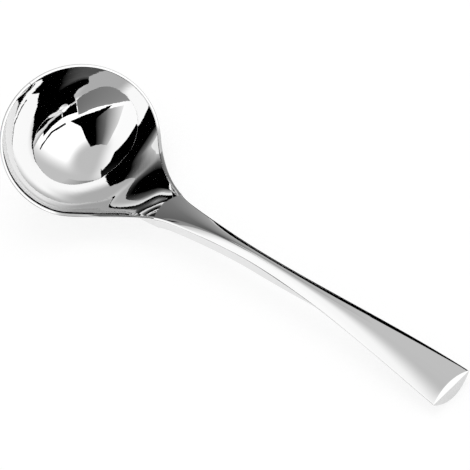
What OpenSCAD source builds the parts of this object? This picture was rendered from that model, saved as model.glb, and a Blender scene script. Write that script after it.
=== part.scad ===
// Gravy ladle: a round bowl with a flared neck and a hollow, arched handle.
// The shape is worked out in the frame of the bowl's rim: x runs from the middle of the rim
// towards the handle, y across the ladle and z up from the rim plane. The whole ladle is then
// turned to the way it lies on a table, on the bowl's resting flat and on the tip of the handle.
// The origin is the middle of that flat, with +Z up and +X towards the tip.

/* [Bowl] */
// Width of the bowl across the outside of its rim
bowl_w = 60; // [52:1:70]
// Length of the bowl along the ladle, as if the rim closed without a neck
bowl_len = 53.6; // [48:0.4:62]
// Depth of the bowl inside, below the rim plane
bowl_depth = 19; // [16:0.5:24]
// How full the bowl is: the half width at the rim as a share of the half width of its whole ball
bowl_fullness = 0.87; // [0.8:0.01:0.95]
// Thickness of the drawn sheet, which is also the width of the rim land
wall = 1.1; // [0.8:0.1:1.5]
// Radius that softens the two edges of the rim land
rim_round = 0.25; // [0.1:0.05:0.35]
// Height that the resting flat takes off the outside of the bowl
foot_cut = 0.4; // [0.2:0.05:0.5]

/* [Neck] */
// Distance from the middle of the rim to the start of the flare
flare_x = 17; // [14:0.5:20]
// Distance from the middle of the rim to where the rim begins to climb
climb_x = 13; // [9:0.5:16]
// Distance from the middle of the rim to the ends of the crease
neck_x = 38; // [35:0.5:42]
// Height of the ends of the crease above the rim plane
neck_rise = 16.8; // [12:0.2:20]
// Width of the neck at the crease
neck_w = 14; // [12:0.5:16]
// How far the middle of the crease reaches back towards the bowl
crease_bow = 2; // [0.5:0.1:2.5]
// Depth of the keel under the neck
keel_depth = 6.2; // [5.4:0.1:7]

/* [Handle] */
// Distance from the middle of the rim to where the neck has thinned
throat_x = 45; // [43:0.5:50]
// Width of the handle where the neck has thinned
throat_w = 10.4; // [9:0.2:11.6]
// Distance from the middle of the rim to the waist of the handle
waist_x = 72; // [64:1:80]
// Width of the handle at its waist
waist_w = 5.9; // [5.5:0.1:7.5]
// Depth of the handle below its side edges, at the waist
waist_belly = 6; // [5:0.1:6.8]
// Distance from the middle of the rim to the shoulder, where the handle has turned shallow
shoulder_x = 98; // [90:1:110]
// Depth of the handle below its side edges, at the shoulder
shoulder_belly = 4.5; // [3.8:0.1:5]
// Distance from the middle of the rim to the ridge at the end of the handle
end_x = 143; // [130:1:155]
// Height of the ridge at the end of the handle above the rim plane
end_rise = 85.4; // [72:0.5:95]
// Width of the handle at its end
end_w = 17.8; // [15:0.2:21]
// Height of the crown above the side edges, at the crease
neck_crown = 0.4; // [0.2:0.1:0.8]
// Height of the crown above the side edges, at the waist
waist_crown = 1.5; // [1.1:0.1:1.8]
// Height of the crown above the side edges, at the end
end_crown = 1.9; // [1.5:0.1:2.4]
// Depth of the handle below its side edges, at the end
end_belly = 4.1; // [3.4:0.1:4.8]

/* [Hollow handle] */
// Thickness of the two pressed handle shells
shell_t = 0.9; // [0.6:0.1:1]
// Thickness of the end plate behind its ridge
plate_t = 1.6; // [1.2:0.1:2.4]
// Slope of the upper facet of the end plate, in degrees from square
upper_facet = 31; // [20:1:40]
// Slope of the lower facet of the end plate, in degrees from square
lower_facet = 16; // [6:1:18]
// Width of the tang at the neck
tang_neck_w = 5; // [4:0.2:6]
// Width of the tang at the waist
tang_waist_w = 2.3; // [1.8:0.1:2.4]
// Thickness of the tang
tang_t = 2.4; // [1.8:0.1:2.8]
// Length of the spigot of the tang in the neck of the bowl
spigot_len = 3; // [1.5:0.5:3.5]
// Distance from the middle of the rim to the tip of the tang
tang_end_x = 112; // [95:1:120]
// Clearance round the tang and round the filler
fit_gap = 0.05; // [0.03:0.01:0.1]

/* [Hidden] */

steel = [0.82, 0.83, 0.84];
tang_steel = [0.55, 0.56, 0.58];
cement = [0.66, 0.62, 0.55];

// Straight pieces across one face of a section, and along each stretch
face_pieces = 30;
core_pieces = 12;
back_pieces = 16;
front_pieces = 21;
handle_pieces = 28;

// Angle of the first station from the far end of the rim
first_angle = 2.5;
// Slopes of the rim and side edges, rise over run
flare_rise_slope = 1;
neck_slope = 0.85;
end_slope = 0.48;
// Rates at which the half width changes along x
neck_taper = -0.42;
throat_taper = -0.15;
end_taper = 0.075;
// Rate at which the trough of the neck gets shallower at the crease
trough_taper = -0.35;
// Roundness powers of the belly, boxy at the neck and lens shaped at the end
boxy_power = 4;
lens_power = 2;
lens_root = 1;
// Where the trough starts and where the keel and the crease die away, as shares of distances
trough_start_share = 0.58;
keel_start_share = 0.66;
bow_start_share = 0.68;
bow_end_share = 1.5;
// How softly the keel blends into the bowl, as a share of its depth
keel_blend_share = 0.3;
// Where the middle of the tang lies between the roof and the floor of the hollow
tang_level_share = 0.5;
// The least rise or blend that still counts, as a share of the size it belongs to
least_share = 0.001;

// Points across one face of a section
across = round(face_pieces) + 1;
core_across = round(core_pieces) + 1;

// Half widths, radii and lengths that follow from the sizes above
half_w = bowl_w / 2;
half_len = bowl_len / 2;
trough_x = neck_x * trough_start_share;
keel_x = neck_x * keel_start_share;
neck_angle = atan(neck_slope);
end_angle = atan(end_slope);

// A cubic from value a with slope ma to value b with slope mb, between x0 and x1
function cubic(x, x0, x1, a, ma, b, mb) =
    let (d = x1 - x0, t = (x - x0) / d)
    (2 * t * t * t - 3 * t * t + 1) * a + (t * t * t - 2 * t * t + t) * d * ma
    + (3 * t * t - 2 * t * t * t) * b + (t * t * t - t * t) * d * mb;

// The slope of that cubic
function cubic_slope(x, x0, x1, a, ma, b, mb) =
    let (d = x1 - x0, t = (x - x0) / d)
    (6 * t * t - 6 * t) * (a - b) / d + (3 * t * t - 4 * t + 1) * ma + (3 * t * t - 2 * t) * mb;

// A smooth step from 0 at a to 1 at b
function step_up(x, a, b) =
    let (t = min(1, max(0, (x - a) / (b - a))))
    t * t * (3 - 2 * t);

// Half width of the outline of the bowl's rim, with the sheet's inner face at inset = wall
function oval_w(x, inset) =
    (half_w - inset) * sqrt(max(0, 1 - pow(x / (half_len - inset), 2)));

// The slope of that outline
function oval_slope(x, inset) =
    -pow((half_w - inset) / (half_len - inset), 2) * x / oval_w(x, inset);

// Half width of the ladle's outline at any x
function outline_w(x, inset = 0) =
    x <= flare_x ? oval_w(x, inset)
    : x <= neck_x ? cubic(x, flare_x, neck_x, oval_w(flare_x, inset), oval_slope(flare_x, inset),
                          neck_w / 2 - inset, neck_taper)
    : x <= throat_x ? cubic(x, neck_x, throat_x, neck_w / 2, neck_taper, throat_w / 2, throat_taper)
    : x <= waist_x ? cubic(x, throat_x, waist_x, throat_w / 2, throat_taper, waist_w / 2, 0)
    : cubic(x, waist_x, end_x, waist_w / 2, 0, end_w / 2, end_taper);

// Height of the rim and of the handle's side edges
function edge_z(x) =
    x <= climb_x ? 0
    : x <= neck_x ? cubic(x, climb_x, neck_x, 0, 0, neck_rise, flare_rise_slope)
    : cubic(x, neck_x, end_x, neck_rise, neck_slope, end_rise, end_slope);

// The slope of that edge
function edge_slope(x) =
    x <= climb_x ? 0
    : x <= neck_x ? cubic_slope(x, climb_x, neck_x, 0, 0, neck_rise, flare_rise_slope)
    : cubic_slope(x, neck_x, end_x, neck_rise, neck_slope, end_rise, end_slope);

// Lean of a section: upright in the bowl, square to the handle beyond the crease
function lean(x) =
    x < neck_x ? neck_angle * step_up(x, trough_x, neck_x) : atan(edge_slope(x));

// The bowl is part of an oval ball. Share of the ball's half height that its middle lies above the
// rim, half height of the ball and height of its middle, for one face of the sheet
rise_share = sqrt(1 - pow(bowl_fullness, 2));

function ball_h(inset) = (bowl_depth + wall - inset) / (1 - rise_share);

function ball_z(inset) = ball_h(inset) * rise_share;

function ball_depth(x, inset) =
    let (s = bowl_fullness * x / (half_len - inset))
    ball_h(inset) * sqrt(max(0, 1 - s * s)) - ball_z(inset);

function ball_slope(x, inset) =
    let (share = bowl_fullness / (half_len - inset))
    -pow(ball_h(inset) * share, 2) * x / (ball_depth(x, inset) + ball_z(inset));

// How much taller than wide the ball is
function ball_stretch(inset) = ball_h(inset) * bowl_fullness / (half_w - inset);

// Depth of the trough's floor on the centre line, below the rim's edge at the same x
function trough_depth(x) =
    cubic(x, trough_x, neck_x, ball_depth(trough_x, wall) + edge_z(trough_x),
          ball_slope(trough_x, wall) + edge_slope(trough_x), -neck_crown, trough_taper);

// Depth of one face of the sheet on the centre line
function face_depth(x, inset) =
    x <= trough_x ? ball_depth(x, inset) + edge_z(x)
    : trough_depth(x) + (wall - inset) / wall
      * (wall + (face_depth(trough_x, 0) - face_depth(trough_x, wall) - wall)
                * (1 - step_up(x, trough_x, neck_x)));

// Rise of a round arc above its middle, at y, for half width w and total rise d. The arc is drawn
// out in height by the factor k
function arc_rise(w, d, y, k) =
    let (r = (w * w + d * d / k / k) / (2 * max(abs(d) / k, w * least_share)))
    k * sign(d) * (r - sqrt(max(0, r * r - y * y)));

// Depth of the sheet's face at y, for the half width w at that station. The face ends where the
// rounding of the rim land begins
function sheet_depth(x, y, w, inset) =
    let (d = face_depth(x, inset) - rim_round)
    rim_round + d - arc_rise(w, d, y, ball_stretch(inset));

// Crown and belly of the handle
function crown(x) =
    x < waist_x ? neck_crown + (waist_crown - neck_crown) * step_up(x, neck_x, waist_x)
    : waist_crown + (end_crown - waist_crown) * step_up(x, waist_x, end_x);

function belly(x) =
    x < waist_x ? keel_depth + (waist_belly - keel_depth) * step_up(x, neck_x, waist_x)
    : x < shoulder_x ? waist_belly + (shoulder_belly - waist_belly) * step_up(x, waist_x, shoulder_x)
    : shoulder_belly + (end_belly - shoulder_belly) * step_up(x, shoulder_x, end_x);

// Share of the belly's depth at share s of the half width
function belly_share(x, s) =
    let (k = step_up(x, waist_x, shoulder_x),
         power = boxy_power + (lens_power - boxy_power) * k,
         root = boxy_power + (lens_root - boxy_power) * k)
    pow(max(0, 1 - pow(min(1, abs(s)), power)), 1 / root);

// The deeper of two depths, blended over k
function deeper(a, b, k) =
    let (h = max(0, k - abs(a - b)) / max(k, wall * least_share))
    max(a, b) + h * h * k / 4;

// Depth of the outside of the bowl, with the keel that runs back under the neck
function under_depth(x, y, w) =
    x < keel_x ? sheet_depth(x, y, w, 0)
    : deeper(sheet_depth(x, y, w, 0), keel_depth * belly_share(neck_x, 2 * y / neck_w),
             keel_blend_share * keel_depth * (1 - step_up(x, keel_x, neck_x)));

// How far the crease draws the metal back towards the bowl
function bow(x, y) =
    crease_bow * max(0, 1 - pow(2 * y / neck_w, 2))
    * (x < neck_x ? step_up(x, neck_x * bow_start_share, neck_x)
                  : 1 - step_up(x, neck_x, neck_x * bow_end_share));

// The tilt at which the bowl and the lower corner of the handle's end stand on one plane
tip_x = end_x + end_belly * (sin(end_angle) + tan(lower_facet) * cos(end_angle));
tip_z = end_rise - end_belly * (cos(end_angle) - tan(lower_facet) * sin(end_angle));
ball_a = half_len / bowl_fullness;
ball_b = ball_h(0);

function tilt_for(lift) =
    let (a = tip_x * tip_x - ball_a * ball_a, c = tip_z - ball_z(0) - lift)
    atan((tip_x * c + sqrt(tip_x * tip_x * c * c - a * (c * c - ball_b * ball_b))) / a);

tilt = tilt_for(foot_cut / cos(tilt_for(foot_cut)));
ball_s = sqrt(pow(ball_a * sin(tilt), 2) + pow(ball_b * cos(tilt), 2));
foot_x = ball_a * ball_a * sin(tilt) / ball_s;
foot_z = ball_z(0) - ball_b * ball_b * cos(tilt) / ball_s;

// From the frame of the rim to the ladle at rest
function rest(p) =
    let (x = p[0] - foot_x, z = p[2] - foot_z)
    [x * cos(tilt) + z * sin(tilt), p[1], z * cos(tilt) - x * sin(tilt) - foot_cut];

// A point at depth h under the edge line of station x, seen along the section's own lean
function at_station(x, y, h) =
    let (b = bow(x, y), a = lean(x))
    rest([x + h * sin(a) - b * cos(neck_angle), y, edge_z(x) - h * cos(a) - b * sin(neck_angle)]);

// The same, a length s further along the handle from the frame of station x
function beyond(x, s, y, h) =
    let (b = bow(x, y), a = lean(x))
    rest([x + s * cos(a) + h * sin(a) - b * cos(neck_angle), y,
          edge_z(x) + s * sin(a) - h * cos(a) - b * sin(neck_angle)]);

// Shares of the half width, close together towards the edges
function spread(n) = [for (i = [0:n - 1]) sin(180 * i / (n - 1) - 90)];

function reversed(list) = [for (i = [len(list) - 1:-1:0]) list[i]];

// A closed skin over loops of points with equal counts. Each loop is an upper and a lower row of
// equal counts, and both ends are closed by strips between the two rows.
module skin(loops) {
    m = len(loops[0]);
    k = len(loops);
    sides = [
        for (i = [0:k - 2], j = [0:m - 1])
            let (a = i * m + j, b = i * m + (j + 1) % m)
            each [[a, b, b + m], [a, b + m, a + m]]
    ];
    function strip(base) = [
        for (j = [0:m / 2 - 2])
            let (a = base + j, b = base + m - 1 - j)
            each [[a, b, a + 1], [b, b - 1, a + 1]]
    ];
    first = strip(0);
    last = [for (f = strip((k - 1) * m)) reversed(f)];
    polyhedron(points = [for (l = loops) each l], faces = concat(sides, first, last));
}

// One loop of the bowl: the inner face, the rim land and the outer face
function bowl_loop(xi, xo) =
    let (wi = outline_w(xi, wall), wo = outline_w(xo),
         round_share = rim_round / wall,
         inner = [for (s = spread(across)) at_station(xi, s * wi, sheet_depth(xi, s * wi, wi, wall))],
         outer = [for (s = spread(across))
                  let (p = at_station(xo, s * wo, under_depth(xo, s * wo, wo)))
                  [p[0], p[1], max(0, p[2])]],
         right_in = at_station(xi, wi, 0),
         right_out = at_station(xo, wo, 0),
         left_in = at_station(xi, -wi, 0),
         left_out = at_station(xo, -wo, 0))
    concat(
        [left_in + (left_out - left_in) * round_share],
        inner,
        [right_in + (right_out - right_in) * round_share],
        [right_in + (right_out - right_in) * (1 - round_share)],
        reversed(outer),
        [left_in + (left_out - left_in) * (1 - round_share)]
    );

// The end loop of the bowl, which is the outline of the handle's first section
crease_spread = concat([-1], spread(across), [1]);
crease_loop = concat(
    [for (s = crease_spread) at_station(neck_x, s * neck_w / 2, -neck_crown * (1 - s * s))],
    [for (s = reversed(crease_spread))
        at_station(neck_x, s * neck_w / 2, keel_depth * belly_share(neck_x, s))]);

// Depth of the middle of the tang, half way down the hollow of the handle
function tang_level(x) =
    (shell_t - crown(x)) * (1 - tang_level_share) + (belly(x) - shell_t) * tang_level_share;

function tang_w(x) =
    x < waist_x ? tang_neck_w + (tang_waist_w - tang_neck_w) * step_up(x, neck_x, waist_x)
    : tang_waist_w;

// A loop of the tang at a length s behind or beyond station x, grown by g all round
function tang_loop(x, s, g, n) =
    let (w = tang_w(x) / 2 + g, t = tang_t / 2 + g,
         up = [for (c = spread(n)) beyond(x, s, c * w, tang_level(x) - t * belly_share(neck_x, c))],
         down = [for (c = spread(n)) beyond(x, s, c * w, tang_level(x) + t * belly_share(neck_x, c))])
    concat(up, reversed(down));

// Stations from a to b, as the ends of n equal stretches
function stations(a, b, n) =
    let (count = round(n))
    [for (i = [0:count]) a + (b - a) * i / count];

// The bowl: drawn sheet with a rounded rim land, a trough that climbs to the crease and a solid
// neck with a keel below and a socket for the tang
module bowl() {
    back = [for (a = stations(first_angle, 90, back_pieces)) if (a < 90) a];
    front = [for (x = stations(0, neck_x, front_pieces)) if (x < neck_x) x];
    socket = across + 2;
    color(steel)
        skin(concat(
            [for (a = back) bowl_loop(-(half_len - wall) * cos(a), -half_len * cos(a))],
            [for (x = front) bowl_loop(x, x)],
            [crease_loop],
            [tang_loop(neck_x, 0, fit_gap, socket)],
            [tang_loop(neck_x, -spigot_len - fit_gap, fit_gap, socket)]
        ));
}

// The forged stem that is fixed in the neck and carries the hollow handle
module tang() {
    color(tang_steel)
        skin(concat(
            [tang_loop(neck_x, -spigot_len, 0, core_across)],
            [for (x = stations(neck_x, tang_end_x, handle_pieces)) tang_loop(x, 0, 0, core_across)]
        ));
}

// The station where the shells stop and the end plate starts
plate_x = end_x - plate_t * cos(end_angle);

// The crowned upper half of the handle
module handle_upper_shell() {
    color(steel)
        skin([for (x = stations(neck_x, plate_x, handle_pieces))
            let (w = outline_w(x), v = w - shell_t, c = crown(x))
            concat([for (s = spread(across)) at_station(x, s * w, -c * (1 - s * s))],
                   [for (s = reversed(spread(across))) at_station(x, s * v, (shell_t - c) * (1 - s * s))])
        ]);
}

// The bellied lower half of the handle
module handle_lower_shell() {
    color(steel)
        skin([for (x = stations(neck_x, plate_x, handle_pieces))
            let (w = outline_w(x), v = w - shell_t, d = belly(x))
            concat([for (s = spread(across)) at_station(x, s * v, (d - shell_t) * belly_share(x, s))],
                   [for (s = reversed(spread(across))) at_station(x, s * w, d * belly_share(x, s))])
        ]);
}

// The plate that closes the end, with two facets that meet in a ridge from corner to corner
module handle_end_plate() {
    w = end_w / 2;
    back_w = outline_w(plate_x);
    up = spread(across);
    back_top = [for (s = up) at_station(plate_x, s * back_w, -crown(plate_x) * (1 - s * s))];
    back_low = [for (s = up) at_station(plate_x, s * back_w, belly(plate_x) * belly_share(plate_x, s))];
    top = [for (s = up)
           let (h = end_crown * (1 - s * s))
           beyond(end_x, -h * tan(upper_facet), s * w, -h)];
    low = [for (s = up)
           let (h = end_belly * belly_share(end_x, s))
           beyond(end_x, h * tan(lower_facet), s * w, h)];
    ridge = [for (s = up) beyond(end_x, 0, s * w, 0)];
    n = across;
    inner = [for (j = [1:n - 2]) j];
    points = concat(back_top, [for (j = inner) back_low[j]], top, [for (j = inner) ridge[j]],
                    [for (j = inner) low[j]]);
    // Indices of each row, with the corners shared between the rows
    row_bt = [for (j = [0:n - 1]) j];
    row_bl = [for (j = [0:n - 1]) j == 0 ? 0 : j == n - 1 ? n - 1 : n + j - 1];
    t0 = 2 * n - 2;
    row_t = [for (j = [0:n - 1]) t0 + j];
    row_r = [for (j = [0:n - 1]) j == 0 ? t0 : j == n - 1 ? t0 + n - 1 : t0 + n + j - 1];
    row_l = [for (j = [0:n - 1]) j == 0 ? t0 : j == n - 1 ? t0 + n - 1 : t0 + 2 * n - 3 + j];
    function band(a, b) = [
        for (j = [0:n - 2])
            each [[a[j], a[j + 1], b[j + 1]], [a[j], b[j + 1], b[j]]]
    ];
    function sound(faces) = [for (f = faces) if (f[0] != f[1] && f[1] != f[2] && f[0] != f[2]) f];
    color(steel)
        polyhedron(points = points, faces = sound(concat(
            band(row_bt, row_t), band(row_t, row_r), band(row_r, row_l), band(row_l, row_bl),
            band(row_bl, row_bt))));
}

// The set cement that fills the hollow round the tang and behind it
module handle_filler() {
    g = fit_gap;
    far = plate_x - g;
    near = neck_x + g;
    outer = [for (x = stations(near, far, handle_pieces))
        let (v = outline_w(x) - shell_t - g)
        concat([for (s = spread(core_across))
                at_station(x, s * v, (shell_t + g - crown(x)) * (1 - s * s))],
               [for (s = reversed(spread(core_across)))
                at_station(x, s * v, (belly(x) - shell_t - g) * belly_share(x, s))])];
    hole = [for (x = reversed(stations(near, tang_end_x + g, handle_pieces)))
        tang_loop(x, 0, g, core_across)];
    color(cement)
        skin(concat(hole, outer));
}

bowl();
tang();
handle_upper_shell();
handle_lower_shell();
handle_end_plate();
handle_filler();
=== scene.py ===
"""A mirror-polished gravy ladle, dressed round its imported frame.

The bowl, the two handle shells and the end plate are pressed from fine sheets to the sizes of the
frame's solids, so that polished steel mirrors without facets. Sizes are in millimetres, measured
from the middle of the bowl's rim, and a finished mesh stands in the frame, in metres.
"""

import logging
import math
from dataclasses import dataclass
from enum import Enum
from functools import cached_property
from typing import Any

import bpy
import numpy as np
from mathutils import Matrix, Vector


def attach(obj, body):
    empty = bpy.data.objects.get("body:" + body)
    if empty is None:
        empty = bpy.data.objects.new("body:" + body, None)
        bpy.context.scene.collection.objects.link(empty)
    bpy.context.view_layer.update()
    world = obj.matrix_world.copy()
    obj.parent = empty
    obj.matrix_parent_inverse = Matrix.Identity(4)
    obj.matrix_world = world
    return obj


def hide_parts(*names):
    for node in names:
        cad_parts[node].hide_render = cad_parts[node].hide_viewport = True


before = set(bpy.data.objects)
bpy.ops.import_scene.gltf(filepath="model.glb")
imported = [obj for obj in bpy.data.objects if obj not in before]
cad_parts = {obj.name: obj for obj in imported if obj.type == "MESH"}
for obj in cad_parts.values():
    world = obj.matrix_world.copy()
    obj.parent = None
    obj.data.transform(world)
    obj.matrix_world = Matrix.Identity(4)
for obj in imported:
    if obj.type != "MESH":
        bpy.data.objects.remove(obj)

log = logging.getLogger("ladle")

MM = 0.001
WELD_MM = 0.0002
BODY = "root"


@dataclass(frozen=True)
class Cubic:
    """A cubic curve that leaves its start and reaches its end with given slopes."""

    start_x: float
    end_x: float
    start: float
    start_slope: float
    end: float
    end_slope: float

    def at(self, x: float) -> float:
        """Height of the curve.

        Args:
            x: Place between the start and the end.

        Returns:
            The height at x.
        """
        span = self.end_x - self.start_x
        t = (x - self.start_x) / span
        return ((2 * t**3 - 3 * t**2 + 1) * self.start
                + (t**3 - 2 * t**2 + t) * span * self.start_slope
                + (3 * t**2 - 2 * t**3) * self.end
                + (t**3 - t**2) * span * self.end_slope)

    def slope(self, x: float) -> float:
        """Slope of the curve.

        Args:
            x: Place between the start and the end.

        Returns:
            The slope at x.
        """
        span = self.end_x - self.start_x
        t = (x - self.start_x) / span
        return ((6 * t**2 - 6 * t) * (self.start - self.end) / span
                + (3 * t**2 - 4 * t + 1) * self.start_slope
                + (3 * t**2 - 2 * t) * self.end_slope)


def step_up(x: float, a: float, b: float) -> float:
    """A smooth step from 0 at a to 1 at b."""
    t = min(1.0, max(0.0, (x - a) / (b - a)))
    return t * t * (3 - 2 * t)


def spread(count: int) -> np.ndarray:
    """Shares from -1 to 1 that lie close together towards both ends."""
    return np.sin(np.linspace(-math.pi / 2, math.pi / 2, count))


@dataclass(frozen=True)
class Profile:
    """The driving sizes of the ladle, in millimetres and degrees, and the curves they give."""

    # Bowl
    bowl_w: float = 60.0
    bowl_len: float = 53.6
    bowl_depth: float = 19.0
    bowl_fullness: float = 0.87
    wall: float = 1.1
    rim_round: float = 0.25
    foot_cut: float = 0.4
    # Flare and neck
    flare_x: float = 17.0
    climb_x: float = 13.0
    neck_x: float = 38.0
    neck_rise: float = 16.8
    neck_w: float = 14.0
    crease_bow: float = 2.0
    keel_depth: float = 6.2
    # Handle
    throat_x: float = 45.0
    throat_w: float = 10.4
    waist_x: float = 72.0
    waist_w: float = 5.9
    waist_belly: float = 6.0
    shoulder_x: float = 98.0
    shoulder_belly: float = 4.5
    end_x: float = 143.0
    end_rise: float = 85.4
    end_w: float = 17.8
    neck_crown: float = 0.4
    waist_crown: float = 1.5
    end_crown: float = 1.9
    end_belly: float = 4.1
    shell_t: float = 0.9
    plate_t: float = 1.6
    upper_facet: float = 31.0
    lower_facet: float = 16.0
    # Socket of the tang
    tang_neck_w: float = 5.0
    tang_t: float = 2.4
    spigot_len: float = 3.0
    fit_gap: float = 0.05
    # Slopes, tapers and shares of the curves
    flare_rise_slope: float = 1.0
    neck_slope: float = 0.85
    end_slope: float = 0.48
    neck_taper: float = -0.42
    throat_taper: float = -0.15
    end_taper: float = 0.075
    trough_taper: float = -0.35
    boxy_power: float = 4.0
    lens_power: float = 2.0
    lens_root: float = 1.0
    trough_start_share: float = 0.58
    keel_start_share: float = 0.66
    bow_start_share: float = 0.68
    bow_end_share: float = 1.5
    keel_blend_share: float = 0.3
    least_share: float = 0.001

    @property
    def half_w(self) -> float:
        """Half of the bowl's width."""
        return self.bowl_w / 2

    @property
    def half_len(self) -> float:
        """Half of the length of the rim's oval."""
        return self.bowl_len / 2

    @property
    def trough_x(self) -> float:
        """Where the bowl's ball turns into the trough of the neck."""
        return self.neck_x * self.trough_start_share

    @property
    def keel_x(self) -> float:
        """Where the keel under the neck begins."""
        return self.neck_x * self.keel_start_share

    @property
    def neck_angle(self) -> float:
        """Climb of the side edges at the crease, in radians."""
        return math.atan(self.neck_slope)

    @property
    def end_angle(self) -> float:
        """Climb of the side edges at the end of the handle, in radians."""
        return math.atan(self.end_slope)

    @property
    def plate_x(self) -> float:
        """Where the shells stop and the end plate starts."""
        return self.end_x - self.plate_t * math.cos(self.end_angle)

    def oval_w(self, x: float, inset: float) -> float:
        """Half width of the rim's oval at x, inset for the inner face of the sheet."""
        share = x / (self.half_len - inset)
        return (self.half_w - inset) * math.sqrt(max(0.0, 1 - share**2))

    def oval_slope(self, x: float, inset: float) -> float:
        """Slope of that half width."""
        stretch = (self.half_w - inset) / (self.half_len - inset)
        return -stretch**2 * x / self.oval_w(x, inset)

    def outline_w(self, x: float, inset: float = 0.0) -> float:
        """Half width of the ladle's outline: oval, flare, throat, waist and end.

        Args:
            x: Station on the centre line.
            inset: How far the edge lies inside the outside of the bowl's sheet.

        Returns:
            The half width at x.
        """
        flare, neck, throat, waist = self.flare_x, self.neck_x, self.throat_x, self.waist_x
        if x <= flare:
            return self.oval_w(x, inset)
        if x <= neck:
            return Cubic(flare, neck, self.oval_w(flare, inset), self.oval_slope(flare, inset),
                         self.neck_w / 2 - inset, self.neck_taper).at(x)
        if x <= throat:
            return Cubic(neck, throat, self.neck_w / 2, self.neck_taper, self.throat_w / 2,
                         self.throat_taper).at(x)
        if x <= waist:
            return Cubic(throat, waist, self.throat_w / 2, self.throat_taper, self.waist_w / 2,
                         0).at(x)
        return Cubic(waist, self.end_x, self.waist_w / 2, 0, self.end_w / 2, self.end_taper).at(x)

    def edge_line(self, x: float) -> Cubic:
        """The stretch of the side edges' line that a station lies on.

        Args:
            x: Station on the centre line.

        Returns:
            The level rim, the climb of the flare or the line of the handle.
        """
        if x <= self.climb_x:
            return Cubic(0, self.climb_x, 0, 0, 0, 0)
        if x <= self.neck_x:
            return Cubic(self.climb_x, self.neck_x, 0, 0, self.neck_rise, self.flare_rise_slope)
        return Cubic(self.neck_x, self.end_x, self.neck_rise, self.neck_slope, self.end_rise,
                     self.end_slope)

    def edge_z(self, x: float) -> float:
        """Height of the rim and of the handle's side edges."""
        return self.edge_line(x).at(x)

    def edge_slope(self, x: float) -> float:
        """Slope of the rim and of the handle's side edges."""
        return self.edge_line(x).slope(x)

    def lean(self, x: float) -> float:
        """Lean of a section: upright in the bowl, square to the handle beyond the crease.

        Args:
            x: Station on the centre line.

        Returns:
            The lean at x, in radians.
        """
        if x < self.neck_x:
            return self.neck_angle * step_up(x, self.trough_x, self.neck_x)
        return math.atan(self.edge_slope(x))

    @property
    def rise_share(self) -> float:
        """Share of the ball's half height that its middle lies above the rim plane."""
        return math.sqrt(1 - self.bowl_fullness**2)

    def ball_h(self, inset: float) -> float:
        """Half height of the oval ball that one face of the bowl is a part of."""
        return (self.bowl_depth + self.wall - inset) / (1 - self.rise_share)

    def ball_z(self, inset: float) -> float:
        """Height of that ball's middle."""
        return self.ball_h(inset) * self.rise_share

    def ball_depth(self, x: float, inset: float) -> float:
        """Depth of that ball below the rim plane, on the centre line."""
        share = self.bowl_fullness * x / (self.half_len - inset)
        return self.ball_h(inset) * math.sqrt(max(0.0, 1 - share**2)) - self.ball_z(inset)

    def ball_slope(self, x: float, inset: float) -> float:
        """Slope of that depth."""
        share = self.bowl_fullness / (self.half_len - inset)
        return -(self.ball_h(inset) * share)**2 * x / (self.ball_depth(x, inset) + self.ball_z(inset))

    def ball_stretch(self, inset: float) -> float:
        """How much taller than wide that ball is."""
        return self.ball_h(inset) * self.bowl_fullness / (self.half_w - inset)

    def trough_depth(self, x: float) -> float:
        """Depth of the trough's floor on the centre line.

        Args:
            x: Station on the centre line.

        Returns:
            The depth below the side edges at the same x.
        """
        start = self.trough_x
        return Cubic(start, self.neck_x, self.ball_depth(start, self.wall) + self.edge_z(start),
                     self.ball_slope(start, self.wall) + self.edge_slope(start),
                     -self.neck_crown, self.trough_taper).at(x)

    def face_depth(self, x: float, inset: float) -> float:
        """Depth of one face of the sheet on the centre line.

        Args:
            x: Station on the centre line.
            inset: Depth of the face in the sheet: 0 for the outside, wall for the inside.

        Returns:
            The depth below the side edges at x.
        """
        start = self.trough_x
        if x <= start:
            return self.ball_depth(x, inset) + self.edge_z(x)
        spare = self.face_depth(start, 0) - self.face_depth(start, self.wall) - self.wall
        thick = self.wall + spare * (1 - step_up(x, start, self.neck_x))
        return self.trough_depth(x) + (self.wall - inset) / self.wall * thick

    def sheet_depth(self, x: float, y: np.ndarray, w: float, inset: float) -> np.ndarray:
        """Depth of one face of the sheet across a station.

        Args:
            x: Station on the centre line.
            y: Places across the ladle.
            w: Half width of the face at x.
            inset: Depth of the face in the sheet: 0 for the outside, wall for the inside.

        Returns:
            The depth at each place, on a round arc stretched to the ball's height.
        """
        stretch = self.ball_stretch(inset)
        depth = self.face_depth(x, inset) - self.rim_round
        round_depth = depth / stretch
        radius = (w * w + round_depth**2) / (2 * max(abs(round_depth), w * self.least_share))
        rise = radius - np.sqrt(np.maximum(0, radius * radius - y * y))
        return self.rim_round + depth - stretch * math.copysign(1, depth) * rise

    def crown(self, x: float) -> float:
        """Height of the handle's crown above its side edges.

        Args:
            x: Station on the centre line.

        Returns:
            The height on the centre line.
        """
        if x < self.waist_x:
            rise = self.waist_crown - self.neck_crown
            return self.neck_crown + rise * step_up(x, self.neck_x, self.waist_x)
        rise = self.end_crown - self.waist_crown
        return self.waist_crown + rise * step_up(x, self.waist_x, self.end_x)

    def belly(self, x: float) -> float:
        """Depth of the handle below its side edges.

        Args:
            x: Station on the centre line.

        Returns:
            The depth on the centre line.
        """
        if x < self.waist_x:
            drop = self.waist_belly - self.keel_depth
            return self.keel_depth + drop * step_up(x, self.neck_x, self.waist_x)
        if x < self.shoulder_x:
            drop = self.shoulder_belly - self.waist_belly
            return self.waist_belly + drop * step_up(x, self.waist_x, self.shoulder_x)
        drop = self.end_belly - self.shoulder_belly
        return self.shoulder_belly + drop * step_up(x, self.shoulder_x, self.end_x)

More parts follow.
